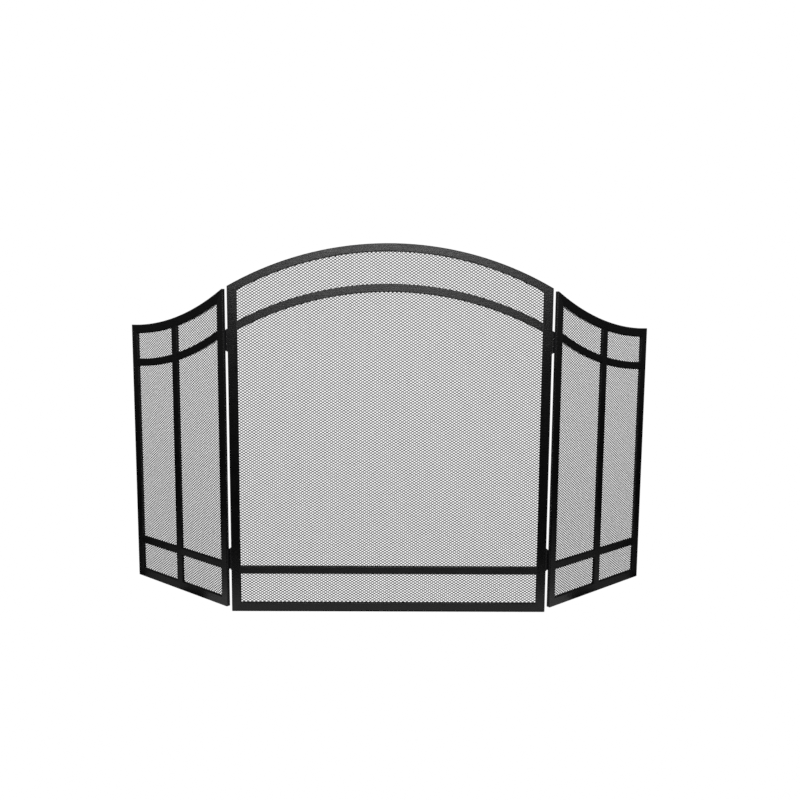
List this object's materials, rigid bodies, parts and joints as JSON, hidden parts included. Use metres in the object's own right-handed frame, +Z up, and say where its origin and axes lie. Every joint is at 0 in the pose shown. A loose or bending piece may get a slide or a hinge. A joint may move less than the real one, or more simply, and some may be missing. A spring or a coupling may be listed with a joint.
{
  "type": "fireplace screen",
  "caption": "Folding fireplace screen of flat steel tube and metal mesh, with an arched centre panel and two hinged wings that sweep down to their outer edges.",
  "frame": {"origin": "middle of the underside of the centre panel's bottom rail, half-way through the panel's depth, on the floor", "axes": "+X to the right along the centre panel, +Y back towards the fire, +Z up"},
  "size_m": [1.2106, 0.2237, 0.7899],
  "materials": {
    "frame": "satin black powder coat",
    "mesh": "satin black powder coat",
    "hinge_leaf": "satin black powder coat",
    "hinge_pin": "satin black paint"
  },
  "bodies": {
    "centre_panel": {"centre_left_stile": "frame", "centre_right_stile": "frame", "centre_bottom_rail": "frame", "centre_top_arch": "frame", "centre_inner_arch": "frame", "centre_lower_bar": "frame", "centre_mesh": "mesh", "left_upper_hinge_centre_leaf": "hinge_leaf", "left_upper_hinge_pin": "hinge_pin", "left_lower_hinge_centre_leaf": "hinge_leaf", "left_lower_hinge_pin": "hinge_pin", "right_upper_hinge_centre_leaf": "hinge_leaf", "right_upper_hinge_pin": "hinge_pin", "right_lower_hinge_centre_leaf": "hinge_leaf", "right_lower_hinge_pin": "hinge_pin"},
    "left_wing": {"left_wing_inner_stile": "frame", "left_wing_outer_stile": "frame", "left_wing_bottom_rail": "frame", "left_wing_top_bar": "frame", "left_wing_mullion": "frame", "left_wing_curved_bar_inner": "frame", "left_wing_curved_bar_outer": "frame", "left_wing_lower_bar_inner": "frame", "left_wing_lower_bar_outer": "frame", "left_wing_mesh": "mesh", "left_upper_hinge_wing_leaf": "hinge_leaf", "left_lower_hinge_wing_leaf": "hinge_leaf"},
    "right_wing": {"right_wing_inner_stile": "frame", "right_wing_outer_stile": "frame", "right_wing_bottom_rail": "frame", "right_wing_top_bar": "frame", "right_wing_mullion": "frame", "right_wing_curved_bar_inner": "frame", "right_wing_curved_bar_outer": "frame", "right_wing_lower_bar_inner": "frame", "right_wing_lower_bar_outer": "frame", "right_wing_mesh": "mesh", "right_upper_hinge_wing_leaf": "hinge_leaf", "right_lower_hinge_wing_leaf": "hinge_leaf"}
  },
  "joints": [
    {"name": "left_wing_fold", "type": "hinge", "parent": "centre_panel", "child": "left_wing", "pos_m": [-0.3418, 0.007, 0], "axis": [0, 0, -1], "range_deg": [-40, 140]},
    {"name": "right_wing_fold", "type": "hinge", "parent": "centre_panel", "child": "right_wing", "pos_m": [0.3418, 0.007, 0], "axis": [0, 0, 1], "range_deg": [-40, 140]}
  ]
}
